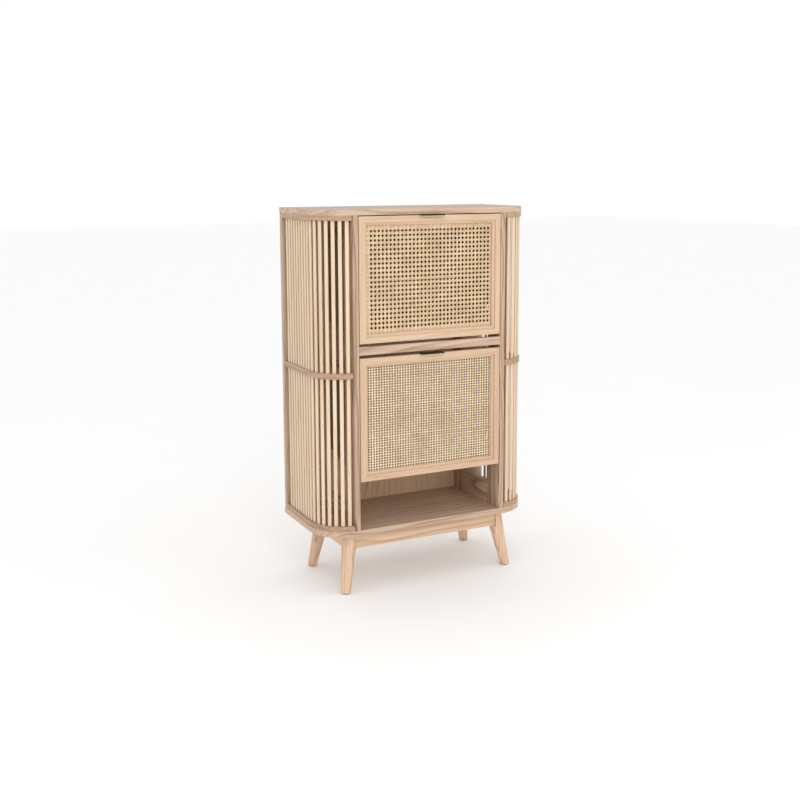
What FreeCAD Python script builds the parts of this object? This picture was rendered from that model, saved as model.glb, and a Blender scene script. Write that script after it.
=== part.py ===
import FreeCAD, Part
import os
from math import atan2, cos, degrees, hypot, radians, sin, sqrt

# Shoe cabinet with two tilting doors in woven cane, slatted round corners, an open
# shelf below and four splayed legs. Millimetres: X to the right, Y to the back, Z up.
# Shapes are laid out about the centre of the boards. export() then moves them by
# ORIGIN_SHIFT, so that the origin is on the floor under the middle of the whole
# cabinet, door pulls included.

Vector = FreeCAD.Vector
X_AXIS = Vector(1, 0, 0)
Y_AXIS = Vector(0, 1, 0)
Z_AXIS = Vector(0, 0, 1)

# ---- Driving dimensions -------------------------------------------------------------
WIDTH = 750.0
DEPTH = 340.0
HEIGHT = 1200.0
CORNER_R = 112.0          # plan radius of the two front corners
BOARD = 18.0              # thickness of the top, bottom and back boards
CLEAR_UNDER = 188.0       # floor to the underside of the bottom board
EASE = 1.2                # eased edge on boards and door frames

POST_IN, POST_OUT = 250.0, 267.0      # inner and outer faces of the posts, from the centre
FRONT_POST_D = 76.0
REAR_POST_FRONT = 85.0
SIDE_RAIL_H = 70.0

RAIL_INSET = 1.0          # slat rails lie this far inside the boards' outline
SLAT_INSET = 5.0          # slat faces lie this far inside the boards' outline
SLAT_W, SLAT_T = 11.5, 5.0
SLAT_COUNT = 16
SLAT_FIRST, SLAT_PITCH = 49.7, 21.7   # along the outline, from the back edge
TOP_RAIL = 15.0
LOW_RAIL = 17.0
BAND_Z = (687.0, 704.0)   # middle band between the two rows of slats

BACK_PANEL = 6.0
BACK_PANEL_FRONT = 134.0
MID_RAIL_Z = (757.0, 783.0)

DOOR_W, DOOR_H, DOOR_T = 496.0, 387.0, 20.0
DOOR_BOTTOM = {"upper": 792.0, "lower": 360.0}
FRAME_FLAT = 19.0         # flat face of the door frame
FRAME_ALL = 28.0          # frame with its bead, up to the cane
CANE = 2.0
FRAME_LIP = 6.0           # lip behind the cane
BEAD_BACK_Y, BEAD_PROUD = 12.0, 3.0
BEAD_SLOPE = 4.0
PULL_W, PULL_OUT, PULL_DROP, PULL_T = 82.0, 9.0, 6.0, 1.2

PIVOT_UP = 60.0           # pivot above the door's bottom edge
PIVOT_BACK = 10.0         # pivot behind the door's back face
PIN_R, PIN_GAP = 6.0, 0.05
STOP_R, STOP_ARM, STOP_GAP = 4.0, 45.0, 0.4
STOP_REST, TILT = 60.0, 45.0          # degrees
PLATE_IN, PLATE_OUT = 242.0, 245.0
# Side plate's outline in (y, z) from the pivot: along the foot, then up the two tiers.
PLATE_OUTLINE = [
    (-10.0, -50.0), (45.0, -52.0), (238.0, 0.0), (208.0, 118.0), (176.0, 128.0),
    (222.0, 164.0), (184.0, 266.0), (66.0, 316.0), (-10.0, 318.0),
]
FLANGE_W, FLANGE_T = 15.0, 3.0        # flange on the door's back
FLANGE_FOOT, FLANGE_HEAD = 22.0, 27.0  # its distance from the door's ends
TRAY_T = 5.0
# Undersides of the bent trays in (y, z) from the pivot: front, bend, top of the back.
TRAY_LINES = {
    "tray_low": [(-6.0, -40.0), (226.0, 4.0), (201.0, 104.0)],
    "tray_high": [(-6.0, 134.0), (210.0, 172.0), (178.0, 258.0)],
}
SCREW_Z = (40.0, 140.0, 240.0, 340.0)
SCREW_R, SCREW_LENGTH = 1.8, 15.0
SCREW_HEAD_R, SCREW_HEAD_H = 3.5, 2.0
BRACKET_T, BRACKET_R = 1.5, 6.0
BRACKET_FRONT, BRACKET_DOWN, BRACKET_UP = 9.0, 26.0, 58.0   # reach from the pivot
PIN_REACH, STOP_REACH = 6.0, 2.0      # pins end this far inside the side plate

LEG_TOP = (262.0, 109.5)  # centre of a leg at the bottom board
LEG_FOOT = (291.5, 141.5)
LEG_TOP_W, LEG_FOOT_W = 46.0, 30.0
GLIDE_R, GLIDE_H = 11.0, 3.0
APRON_H, APRON_T = 51.0, 18.0
APRON_END = 260.0
SIDE_APRON_END = 108.0
SIDE_APRON_FACE = 284.0
APRON_FACE = 132.0
BRACE_H = 38.0
BRACE_X, BRACE_Y = (181.0, 206.0), (29.0, 54.0)   # where it meets the two aprons
BOLT_R, BOLT_LENGTH, BOLT_DOWN, BOLT_START = 4.0, 66.0, 20.0, -2.0
WASHER_R, WASHER_T, WASHER_AT = 9.0, 1.6, 54.1
NUT_R, NUT_H = 6.5, 6.4

# ---- Worked out from them -----------------------------------------------------------
HALF_W, HALF_D = WIDTH / 2, DEPTH / 2
FRONT, BACK = -HALF_D, HALF_D
FLOOR_TOP = CLEAR_UNDER + BOARD
CEILING = HEIGHT - BOARD
BACK_BOARD_FRONT = BACK - BOARD
ARC_X, ARC_Y = HALF_W - CORNER_R, FRONT + CORNER_R
DOOR_BACK = FRONT + DOOR_T
PIVOT_Y = DOOR_BACK + PIVOT_BACK
ORIGIN_SHIFT = Vector(0, PULL_OUT / 2, 0)

nodes = {}


# ---- Helpers ------------------------------------------------------------------------
def box(x, y, z):
    """Box from (low, high) pairs."""
    return Part.makeBox(x[1] - x[0], y[1] - y[0], z[1] - z[0], Vector(x[0], y[0], z[0]))


def face_of(edges):
    """Flat face inside a closed loop of edges."""
    return Part.Face(Part.Wire(edges))


def polygon(points):
    """Flat face through the given points."""
    return Part.Face(Part.makePolygon(list(points) + [points[0]]))


def arc(centre, radius, start, middle, end, place):
    """Arc edge through three angles, with place() turning (a, b) into a point."""
    points = [place(centre[0] + radius * cos(t), centre[1] + radius * sin(t)) for t in (start, middle, end)]
    return Part.Arc(*points).toShape()


def line(start, end):
    """Straight edge between two points."""
    return Part.LineSegment(start, end).toShape()


def mirror_x(shape):
    return shape.mirror(Vector(0, 0, 0), X_AXIS)


def mirror_y(shape):
    return shape.mirror(Vector(0, 0, 0), Y_AXIS)


def add_pair(name, right):
    """Store a right-hand piece and its left-hand mirror image."""
    nodes[name + "_right"] = right
    nodes[name + "_left"] = mirror_x(right)


def cylinder_x(radius, x, y, z):
    """Cylinder along X between the two values in x."""
    return Part.makeCylinder(radius, x[1] - x[0], Vector(x[0], y, z), X_AXIS)


def rounded_square(side, radius, centre, z):
    """Closed wire of a square with round corners."""
    half = side / 2
    inner = half - radius
    edges = []
    for quarter in range(4):
        turn = radians(90 * quarter)
        corner = (centre[0] + inner * (cos(turn) - sin(turn)), centre[1] + inner * (sin(turn) + cos(turn)))
        angles = (turn, turn + radians(45), turn + radians(90))
        edges.append(arc(corner, radius, *angles, lambda a, b: Vector(a, b, z)))
    loop = []
    for index, edge in enumerate(edges):
        following = edges[(index + 1) % 4]
        loop.append(edge)
        loop.append(line(edge.Vertexes[-1].Point, following.Vertexes[0].Point))
    return Part.Wire(loop)


def thick_line(points, thickness):
    """Face of a bent sheet: a line in (y, z) thickened to its left, with mitred bends."""
    normals = []
    for start, end in zip(points, points[1:]):
        length = hypot(end[0] - start[0], end[1] - start[1])
        normals.append((-(end[1] - start[1]) / length, (end[0] - start[0]) / length))
    inner = []
    for index, point in enumerate(points):
        before = normals[max(index - 1, 0)]
        after = normals[min(index, len(normals) - 1)]
        total = (before[0] + after[0], before[1] + after[1])
        scale = thickness / (1 + before[0] * after[0] + before[1] * after[1])
        inner.append((point[0] + total[0] * scale, point[1] + total[1] * scale))
    outline = list(points) + inner[::-1]
    return polygon([Vector(0, y, z) for y, z in outline])


# ---- Boards, slats and their rails --------------------------------------------------
def make_board(z_low):
    """Full board with two round front corners and eased edges."""
    def place(a, b):
        return Vector(a, b, z_low)
    corner_right = arc((ARC_X, ARC_Y), CORNER_R, 0, radians(-45), radians(-90), place)
    corner_left = arc((-ARC_X, ARC_Y), CORNER_R, radians(-90), radians(-135), radians(-180), place)
    loop = [
        line(place(-HALF_W, BACK), place(HALF_W, BACK)),
        line(place(HALF_W, BACK), place(HALF_W, ARC_Y)),
        corner_right,
        line(place(ARC_X, FRONT), place(-ARC_X, FRONT)),
        corner_left,
        line(place(-HALF_W, ARC_Y), place(-HALF_W, BACK)),
    ]
    board = face_of(loop).extrude(Vector(0, 0, BOARD))
    flat_edges = [e for e in board.Edges if e.BoundBox.ZLength < 0.01 and e.BoundBox.YMin < BACK - 1]
    return board.makeFillet(EASE, flat_edges)


def make_slat_rail(z_low, z_high):
    """D-shaped rail between the posts and the outline, holding the slat ends."""
    radius = CORNER_R - RAIL_INSET
    end_angle = -atan2(sqrt(radius ** 2 - (POST_OUT - ARC_X) ** 2), POST_OUT - ARC_X)

    def place(a, b):
        return Vector(a, b, z_low)
    edge = HALF_W - RAIL_INSET
    tip = place(POST_OUT, ARC_Y + radius * sin(end_angle))
    loop = [
        line(place(POST_OUT, BACK_BOARD_FRONT), place(edge, BACK_BOARD_FRONT)),
        line(place(edge, BACK_BOARD_FRONT), place(edge, ARC_Y)),
        arc((ARC_X, ARC_Y), radius, 0, end_angle / 2, end_angle, place),
        line(tip, place(POST_OUT, BACK_BOARD_FRONT)),
    ]
    rail = face_of(loop).extrude(Vector(0, 0, z_high - z_low))
    nose = [e for e in rail.Edges if e.BoundBox.ZLength > 1 and e.BoundBox.YMax < FRONT + 5]
    return rail.makeFillet(EASE * 5, nose)


def slat_place(distance):
    """Centre and turn of a slat at a distance along the outline from the back edge."""
    inset = SLAT_INSET + SLAT_T / 2
    straight = BACK - ARC_Y
    if distance <= straight:
        return (HALF_W - inset, BACK - distance), 0.0
    turn = (distance - straight) / (CORNER_R - SLAT_INSET)
    reach = CORNER_R - inset
    return (ARC_X + reach * cos(turn), ARC_Y - reach * sin(turn)), -degrees(turn)


def make_slats(z_low, z_high):
    """One row of slats from the back edge round to the front post."""
    slats = []
    for index in range(SLAT_COUNT):
        centre, turn = slat_place(SLAT_FIRST + index * SLAT_PITCH)
        bar = box((-SLAT_T / 2, SLAT_T / 2), (-SLAT_W / 2, SLAT_W / 2), (z_low, z_high))
        bar = bar.makeFillet(EASE, [e for e in bar.Edges if e.BoundBox.ZLength > 1])
        bar.rotate(Vector(0, 0, 0), Z_AXIS, turn)
        bar.translate(Vector(centre[0], centre[1], 0))
        slats.append(bar)
    return Part.Compound(slats)


def build_sides():
    top_rail_z = (CEILING - TOP_RAIL, CEILING)
    low_rail_z = (FLOOR_TOP, FLOOR_TOP + LOW_RAIL)
    add_pair("slat_rail_top", make_slat_rail(*top_rail_z))
    add_pair("slat_rail_mid", make_slat_rail(*BAND_Z))
    add_pair("slat_rail_bottom", make_slat_rail(*low_rail_z))
    add_pair("upper_slats", make_slats(BAND_Z[1], top_rail_z[0]))
    add_pair("lower_slats", make_slats(low_rail_z[1], BAND_Z[0]))


# ---- Carcass ------------------------------------------------------------------------
def build_carcass():
    nodes["top_board"] = make_board(CEILING)
    nodes["bottom_board"] = make_board(CLEAR_UNDER)
    tall = (FLOOR_TOP, CEILING)
    post_x = (POST_IN, POST_OUT)
    front_post_back = FRONT + FRONT_POST_D
    add_pair("front_post", box(post_x, (FRONT, front_post_back), tall))
    add_pair("rear_post", box(post_x, (REAR_POST_FRONT, BACK_BOARD_FRONT), tall))
    between_posts = (front_post_back, REAR_POST_FRONT)
    add_pair("side_rail", box(post_x, between_posts, (FLOOR_TOP, FLOOR_TOP + SIDE_RAIL_H)))
    add_pair("back_board", box((POST_IN, HALF_W - RAIL_INSET), (BACK_BOARD_FRONT, BACK), tall))
    panel_y = (BACK_PANEL_FRONT, BACK_PANEL_FRONT + BACK_PANEL)
    nodes["back_panel"] = box((-POST_IN, POST_IN), panel_y, tall)
    nodes["front_mid_rail"] = box((-POST_IN, POST_IN), (FRONT, FRONT + BOARD), MID_RAIL_Z)


# ---- Tilting bins -------------------------------------------------------------------
def door_frame_ring():
    """Frame of a door, with the rebate for the cane and its bead in front."""
    half = DOOR_W / 2
    ring = box((-half, half), (FRONT, DOOR_BACK), (0, DOOR_H))
    front_edges = [e for e in ring.Edges if e.BoundBox.YMax < FRONT + 0.01]
    ring = ring.makeFillet(EASE, front_edges)
    through = half - FRAME_ALL
    rebate = half - FRAME_FLAT
    ring = ring.cut(box((-through, through), (FRONT - 1, DOOR_BACK + 1), (FRAME_ALL, DOOR_H - FRAME_ALL)))
    rebate_y = (FRONT - 1, DOOR_BACK - FRAME_LIP)
    return ring.cut(box((-rebate, rebate), rebate_y, (FRAME_FLAT, DOOR_H - FRAME_FLAT)))


def mitre_block(outer, inner):
    """Block in front view between an outer edge and the inner edge beside it."""
    corners = [outer[0], outer[1], inner[1], inner[0]]
    face = polygon([Vector(x, FRONT - 1, z) for x, z in corners])
    return face.extrude(Vector(0, DOOR_T + 2, 0))


def make_bead():
    """Slim moulding that holds the cane in its rebate, sloping towards the cane."""
    outer, inner = DOOR_W / 2 - FRAME_FLAT, DOOR_W / 2 - FRAME_ALL
    y = (FRONT + BEAD_PROUD, FRONT + BEAD_BACK_Y)
    bead = box((-outer, outer), y, (FRAME_FLAT, DOOR_H - FRAME_FLAT))
    bead = bead.cut(box((-inner, inner), (y[0] - 1, y[1] + 1), (FRAME_ALL, DOOR_H - FRAME_ALL)))
    slope = []
    for edge in bead.Edges:
        bounds = edge.BoundBox
        at_front = bounds.YMax < y[0] + 0.01
        inside = abs(bounds.XMin) < inner + 0.1 and abs(bounds.XMax) < inner + 0.1
        if at_front and inside:
            slope.append(edge)
    return bead.makeChamfer(BEAD_SLOPE, slope)


def make_pull():
    """Folded strip on the door's top edge, with a small lip in front."""
    half = PULL_W / 2
    flange = box((-half, half), (FRONT - PULL_OUT, DOOR_BACK - 2), (DOOR_H, DOOR_H + PULL_T))
    lip_y = (FRONT - PULL_OUT, FRONT - PULL_OUT + PULL_T)
    lip = box((-half, half), lip_y, (DOOR_H - PULL_DROP + PULL_T, DOOR_H + PULL_T))
    return flange.fuse(lip).removeSplitter()


def make_stop_slot():
    """Curved slot for the stop pin, about the pivot."""
    low, high = radians(STOP_REST - TILT), radians(STOP_REST)
    middle = (low + high) / 2
    half = STOP_R + STOP_GAP
    quarter = radians(90)

    def place(a, b):
        return Vector(PLATE_IN - 1, PIVOT_Y + a, PIVOT_UP + b)
    low_end = (STOP_ARM * cos(low), STOP_ARM * sin(low))
    high_end = (STOP_ARM * cos(high), STOP_ARM * sin(high))
    loop = [
        arc((0, 0), STOP_ARM + half, low, middle, high, place),
        arc(high_end, half, high, high + quarter, high + 2 * quarter, place),
        arc((0, 0), STOP_ARM - half, high, middle, low, place),
        arc(low_end, half, low + 2 * quarter, low + 3 * quarter, low + 4 * quarter, place),
    ]
    return face_of(loop).extrude(Vector(PLATE_OUT - PLATE_IN + 2, 0, 0))


def make_side_plate():
    """Right-hand plate that carries the trays, with its flange on the door's back."""
    face = polygon([Vector(PLATE_IN, PIVOT_Y + y, PIVOT_UP + z) for y, z in PLATE_OUTLINE])
    plate = face.extrude(Vector(PLATE_OUT - PLATE_IN, 0, 0))
    flange_y = (DOOR_BACK, DOOR_BACK + FLANGE_T)
    flange = box((PLATE_IN - FLANGE_W, PLATE_IN), flange_y, (FLANGE_FOOT, DOOR_H - FLANGE_HEAD))
    plate = plate.fuse(flange).removeSplitter()
    span = (PLATE_IN - 1, PLATE_OUT + 1)
    plate = plate.cut(cylinder_x(PIN_R + PIN_GAP, span, PIVOT_Y, PIVOT_UP))
    return plate.cut(make_stop_slot())


def make_tray(bend_points):
    """Bent shelf between the two side plates, given in (y, z) from the pivot."""
    points = [(PIVOT_Y + y, PIVOT_UP + z) for y, z in bend_points]
    tray = thick_line(points, TRAY_T).extrude(Vector(2 * PLATE_IN, 0, 0))
    tray.translate(Vector(-PLATE_IN, 0, 0))
    return tray


def make_bin_screws():
    """Pan-head screws from each side plate's flange into the door's stile."""
    screws = []
    seat = DOOR_BACK + FLANGE_T
    for side in (-1, 1):
        x = side * (PLATE_IN - FLANGE_W / 2)
        for z in SCREW_Z:
            head = Part.makeCylinder(SCREW_HEAD_R, SCREW_HEAD_H, Vector(x, seat, z), Y_AXIS)
            tip = Vector(x, seat - SCREW_LENGTH, z)
            shank = Part.makeCylinder(SCREW_R, SCREW_LENGTH, tip, Y_AXIS)
            screws.append(head.fuse(shank))
    return Part.Compound(screws)


def build_bin(level):
    """All the pieces of one tilting bin."""
    half, inner = DOOR_W / 2, DOOR_W / 2 - FRAME_ALL
    ring = door_frame_ring()
    low, high = FRAME_ALL, DOOR_H - FRAME_ALL
    blocks = {
        "stile_left": (((-half, 0), (-half, DOOR_H)), ((-inner, low), (-inner, high))),
        "stile_right": (((half, 0), (half, DOOR_H)), ((inner, low), (inner, high))),
        "rail_bottom": (((-half, 0), (half, 0)), ((-inner, low), (inner, low))),
        "rail_top": (((-half, DOOR_H), (half, DOOR_H)), ((-inner, high), (inner, high))),
    }
    pieces = {}
    for name, (outer_edge, inner_edge) in blocks.items():
        pieces[name] = ring.common(mitre_block(outer_edge, inner_edge))
    rebate = half - FRAME_FLAT
    cane_y = (DOOR_BACK - FRAME_LIP - CANE, DOOR_BACK - FRAME_LIP)
    pieces["cane"] = box((-rebate, rebate), cane_y, (FRAME_FLAT, DOOR_H - FRAME_FLAT))
    pieces["bead"] = make_bead()
    pieces["pull"] = make_pull()
    plate = make_side_plate()
    pieces["side_plate_right"] = plate
    pieces["side_plate_left"] = mirror_x(plate)
    for name, bend_points in TRAY_LINES.items():
        pieces[name] = make_tray(bend_points)
    pieces["screws"] = make_bin_screws()
    for name, shape in pieces.items():
        shape.translate(Vector(0, 0, DOOR_BOTTOM[level]))
        nodes[level + "_" + name] = shape


def build_pivot_brackets():
    """Plates on the front posts with the pivot pins and stop pins of both bins."""
    brackets = []
    plate_x = (POST_IN - BRACKET_T, POST_IN)
    plate_y = (PIVOT_Y - BRACKET_FRONT, FRONT + FRONT_POST_D)
    stop = radians(STOP_REST)
    for bottom in DOOR_BOTTOM.values():
        z = bottom + PIVOT_UP
        plate = box(plate_x, plate_y, (z - BRACKET_DOWN, z + BRACKET_UP))
        plate = plate.makeFillet(BRACKET_R, [e for e in plate.Edges if e.BoundBox.XLength > 1])
        pivot = cylinder_x(PIN_R, (PLATE_IN - PIN_REACH, plate_x[0]), PIVOT_Y, z)
        stop_y, stop_z = PIVOT_Y + STOP_ARM * cos(stop), z + STOP_ARM * sin(stop)
        stop_pin = cylinder_x(STOP_R, (PLATE_IN - STOP_REACH, plate_x[0]), stop_y, stop_z)
        right = plate.fuse(pivot).fuse(stop_pin).removeSplitter()
        brackets.append(right)
        brackets.append(mirror_x(right))
    nodes["pivot_brackets"] = Part.Compound(brackets)


# ---- Base ---------------------------------------------------------------------------
def make_leg():
    """Rear right leg: square and rebated for the aprons at the top, round at the foot."""
    foot = rounded_square(LEG_FOOT_W, LEG_FOOT_W / 2 - 1, LEG_FOOT, GLIDE_H)
    top = rounded_square(LEG_TOP_W, LEG_TOP_W / 4, LEG_TOP, CLEAR_UNDER)
    leg = Part.makeLoft([foot, top], True, True)
    z = (CLEAR_UNDER - APRON_H, CLEAR_UNDER + 1)
    leg = leg.cut(box((0, APRON_END), (APRON_FACE - APRON_T, HALF_D), z))
    return leg.cut(box((SIDE_APRON_FACE - APRON_T, HALF_W), (0, SIDE_APRON_END), z))


def make_corner_brace():
    """Diagonal block between two aprons, just inside a leg."""
    reach_y, reach_x = APRON_FACE - APRON_T, SIDE_APRON_FACE - APRON_T
    corners = [
        (BRACE_X[1], reach_y), (reach_x, BRACE_Y[1]), (reach_x, BRACE_Y[0]), (BRACE_X[0], reach_y),
    ]
    brace = polygon([Vector(x, y, CLEAR_UNDER - BRACE_H) for x, y in corners])
    return brace.extrude(Vector(0, 0, BRACE_H))


def make_leg_bolt():
    """Bolt through a corner brace into its leg, with a washer and nut inside."""
    inward = Vector(-1, -1, 0)
    inward.normalize()
    centre = Vector(LEG_TOP[0], LEG_TOP[1], CLEAR_UNDER - BOLT_DOWN)
    shank = Part.makeCylinder(BOLT_R, BOLT_LENGTH, centre + inward * BOLT_START, inward)
    seat = centre + inward * WASHER_AT
    washer = Part.makeCylinder(WASHER_R, WASHER_T, seat, inward)
    nut = Part.makeCylinder(NUT_R, NUT_H, seat + inward * WASHER_T, inward)
    return shank.fuse(washer).fuse(nut).removeSplitter()


def build_base():
    z = (CLEAR_UNDER - APRON_H, CLEAR_UNDER)
    rear_apron = box((-APRON_END, APRON_END), (APRON_FACE - APRON_T, APRON_FACE), z)
    nodes["rear_apron"] = rear_apron
    nodes["front_apron"] = mirror_y(rear_apron)
    side_x = (SIDE_APRON_FACE - APRON_T, SIDE_APRON_FACE)
    add_pair("side_apron", box(side_x, (-SIDE_APRON_END, SIDE_APRON_END), z))
    leg = make_leg()
    add_pair("rear_leg", leg)
    add_pair("front_leg", mirror_y(leg))
    glide = Part.makeCylinder(GLIDE_R, GLIDE_H, Vector(LEG_FOOT[0], LEG_FOOT[1], 0))
    grouped = {"foot_glides": glide, "corner_braces": make_corner_brace(), "leg_bolts": make_leg_bolt()}
    for name, piece in grouped.items():
        rear = [piece, mirror_x(piece)]
        nodes[name] = Part.Compound(rear + [mirror_y(shape) for shape in rear])


# ---- Build and export ---------------------------------------------------------------
def export():
    os.makedirs("parts", exist_ok=True)
    for name, shape in nodes.items():
        moved = shape.copy()
        moved.translate(ORIGIN_SHIFT)
        moved.exportStep("parts/" + name + ".step")
        volumes = [round(solid.Volume) for solid in moved.Solids]
        print(name, "solids", len(volumes), "valid", moved.isValid(), "mm3", sum(volumes))


build_carcass()
build_sides()
build_bin("upper")
build_bin("lower")
build_pivot_brackets()
build_base()
export()
print(len(nodes), "nodes")
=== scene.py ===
"""Visual model of a two-door cane shoe cabinet with slatted round corners.

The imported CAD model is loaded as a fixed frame. Boards, legs, door frames and hardware
keep their CAD shapes and get procedural finishes. Cane, slats, square bars and door
pulls are modelled here in finer detail, in metres, and ride on the frame's bodies.
"""
import logging
import math
import random
from dataclasses import dataclass, field, replace
from enum import Enum
from typing import Callable

import bmesh
import bpy
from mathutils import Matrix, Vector


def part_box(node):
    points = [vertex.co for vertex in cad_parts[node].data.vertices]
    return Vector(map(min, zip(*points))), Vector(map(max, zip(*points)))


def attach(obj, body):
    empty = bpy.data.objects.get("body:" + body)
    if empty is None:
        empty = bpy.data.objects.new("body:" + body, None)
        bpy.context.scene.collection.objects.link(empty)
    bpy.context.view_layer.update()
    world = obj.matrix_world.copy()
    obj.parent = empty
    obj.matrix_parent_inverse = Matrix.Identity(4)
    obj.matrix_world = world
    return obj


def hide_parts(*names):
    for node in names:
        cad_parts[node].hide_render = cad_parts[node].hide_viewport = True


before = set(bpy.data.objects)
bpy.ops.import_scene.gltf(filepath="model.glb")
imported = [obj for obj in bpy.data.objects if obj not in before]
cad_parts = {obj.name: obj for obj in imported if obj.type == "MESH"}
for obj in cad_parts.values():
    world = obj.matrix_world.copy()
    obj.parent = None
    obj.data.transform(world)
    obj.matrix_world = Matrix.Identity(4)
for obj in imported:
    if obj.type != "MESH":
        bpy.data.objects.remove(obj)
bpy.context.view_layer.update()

MM = 0.001
SEED = 41
UPRIGHT_SEED, WEFT_SEED, DIAGONAL_SEED, CARCASS_SEED, BASE_SEED = 3, 4, 7, 20, 30
log = logging.getLogger("shoe_cabinet")

Colour = tuple[float, float, float, float]
Point = tuple[float, float, float]
Stops = tuple[tuple[float, float], ...]
SMOOTH_ANGLE = math.radians(40)
FACING_DOWN, FACING_FRONT = -0.5, -0.9      # largest part of a normal that counts as facing so


def srgb(red: int, green: int, blue: int) -> Colour:
    """Turn a display colour into a scene-linear one.

    Args:
        red: Red from 0 to 255.
        green: Green from 0 to 255.
        blue: Blue from 0 to 255.

    Returns:
        The linear colour with full alpha.
    """
    def channel(value: int) -> float:
        """Linear value of one channel, by the standard display curve."""
        share = value / 255
        return share / 12.92 if share <= 0.04045 else ((share + 0.055) / 1.055) ** 2.4
    return (channel(red), channel(green), channel(blue), 1.0)


class Grain(Enum):
    """Direction that the wood fibres of a piece run in, as the order of its coordinates."""

    ALONG_X = ("Y", "Z", "X")
    ALONG_Y = ("X", "Z", "Y")
    ALONG_Z = ("X", "Y", "Z")


# ---- Shader graphs ------------------------------------------------------------------
MIX_FIRST, MIX_SECOND, MIX_RESULT = 6, 7, 2     # colour sockets of a Mix node


class Graph:
    """Short-hand for adding and joining the nodes of one shader tree."""

    def __init__(self, tree: bpy.types.NodeTree) -> None:
        """Start on a tree, which keeps the nodes it has."""
        self.tree = tree

    def add(self, kind: str, **settings: object) -> bpy.types.Node:
        """Add a node.

        Args:
            kind: The node's type name.
            **settings: Properties to set on the node.

        Returns:
            The new node.
        """
        node = self.tree.nodes.new(kind)
        for name, value in settings.items():
            setattr(node, name, value)
        return node

    def feed(self, socket: bpy.types.NodeSocket, value: object) -> None:
        """Link a socket into another, or set its plain value.

        Args:
            socket: The input to feed.
            value: A socket or a plain value.
        """
        if isinstance(value, bpy.types.NodeSocket):
            self.tree.links.new(value, socket)
        else:
            socket.default_value = value

    def math(self, operation: str, *values: object, clamp: bool = False) -> bpy.types.NodeSocket:
        """Result of a Math node.

        Args:
            operation: What the node does.
            *values: One to three values or sockets.
            clamp: Whether the result is kept between 0 and 1.

        Returns:
            The node's result.
        """
        node = self.add("ShaderNodeMath", operation=operation, use_clamp=clamp)
        for socket, value in zip(node.inputs, values):
            self.feed(socket, value)
        return node.outputs[0]

    def centred(self, value: object, strength: float) -> bpy.types.NodeSocket:
        """A value's distance from its middle, 0.5, times a strength."""
        return self.math("MULTIPLY", self.math("SUBTRACT", value, 0.5), strength)

    def vector_math(self, operation: str, first: object, second: object) -> bpy.types.NodeSocket:
        """Result of a Vector Math node.

        Args:
            operation: What the node does.
            first: Its first vector or socket.
            second: Its second vector or socket.

        Returns:
            The node's vector.
        """
        node = self.add("ShaderNodeVectorMath", operation=operation)
        self.feed(node.inputs[0], first)
        self.feed(node.inputs[1], second)
        return node.outputs[0]

    def noise(self, vector: object, scale: float, detail: float = 2.0) -> bpy.types.NodeSocket:
        """Noise value from 0 to 1 at a place.

        Args:
            vector: The place.
            scale: How fine the noise is.
            detail: How many finer layers it has.

        Returns:
            The value.
        """
        node = self.add("ShaderNodeTexNoise")
        self.feed(node.inputs["Vector"], vector)
        node.inputs["Scale"].default_value = scale
        node.inputs["Detail"].default_value = detail
        return node.outputs[0]

    def ramp(self, value: object, stops: Stops) -> bpy.types.NodeSocket:
        """Grey ramp.

        Args:
            value: Position on the ramp.
            stops: Position and brightness of each stop.

        Returns:
            The brightness.
        """
        node = self.add("ShaderNodeValToRGB")
        elements = node.color_ramp.elements
        while len(elements) < len(stops):
            elements.new(0.5)
        for element, (position, brightness) in zip(elements, stops):
            element.position = position
            element.color = (brightness, brightness, brightness, 1.0)
        self.feed(node.inputs[0], value)
        return node.outputs[0]

    def mix(self, share: object, first: object, second: object,
            blend: str = "MIX") -> bpy.types.NodeSocket:
        """Colour between two colours.

        Args:
            share: Share of the second colour.
            first: The first colour.
            second: The second colour.
            blend: How they are mixed.

        Returns:
            The mixed colour.
        """
        node = self.add("ShaderNodeMix", data_type="RGBA", blend_type=blend)
        self.feed(node.inputs[0], share)
        self.feed(node.inputs[MIX_FIRST], first)
        self.feed(node.inputs[MIX_SECOND], second)
        return node.outputs[MIX_RESULT]

    def split(self, vector: object) -> bpy.types.NodeOutputs:
        """Take a vector apart.

        Args:
            vector: The vector.

        Returns:
            Its X, Y and Z.
        """
        node = self.add("ShaderNodeSeparateXYZ")
        self.feed(node.inputs[0], vector)
        return node.outputs

    def combine(self, *values: object) -> bpy.types.NodeSocket:
        """Put a vector together.

        Args:
            *values: Its X, Y and Z, of which the last may be left out.

        Returns:
            The vector.
        """
        node = self.add("ShaderNodeCombineXYZ")
        for socket, value in zip(node.inputs, values):
            self.feed(socket, value)
        return node.outputs[0]


Group = tuple[bpy.types.NodeTree, Graph, bpy.types.Node, bpy.types.Node]


def new_group(name: str, inputs: dict[str, str], outputs: dict[str, str]) -> Group:
    """Make an empty shader node group with named sockets.

    Args:
        name: The group's name.
        inputs: Socket types of the inputs by name.
        outputs: Socket types of the outputs by name.

    Returns:
        The group, its graph, and the nodes for its inputs and outputs.
    """
    group = bpy.data.node_groups.new(name, "ShaderNodeTree")
    for socket, kind in inputs.items():
        group.interface.new_socket(name=socket, in_out="INPUT", socket_type=kind)
    for socket, kind in outputs.items():
        group.interface.new_socket(name=socket, in_out="OUTPUT", socket_type=kind)
    graph = Graph(group)
    return group, graph, graph.add("NodeGroupInput"), graph.add("NodeGroupOutput")


SURFACE_OUTPUTS = {
    "Colour": "NodeSocketColor", "Roughness": "NodeSocketFloat", "Height": "NodeSocketFloat",
}


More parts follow.
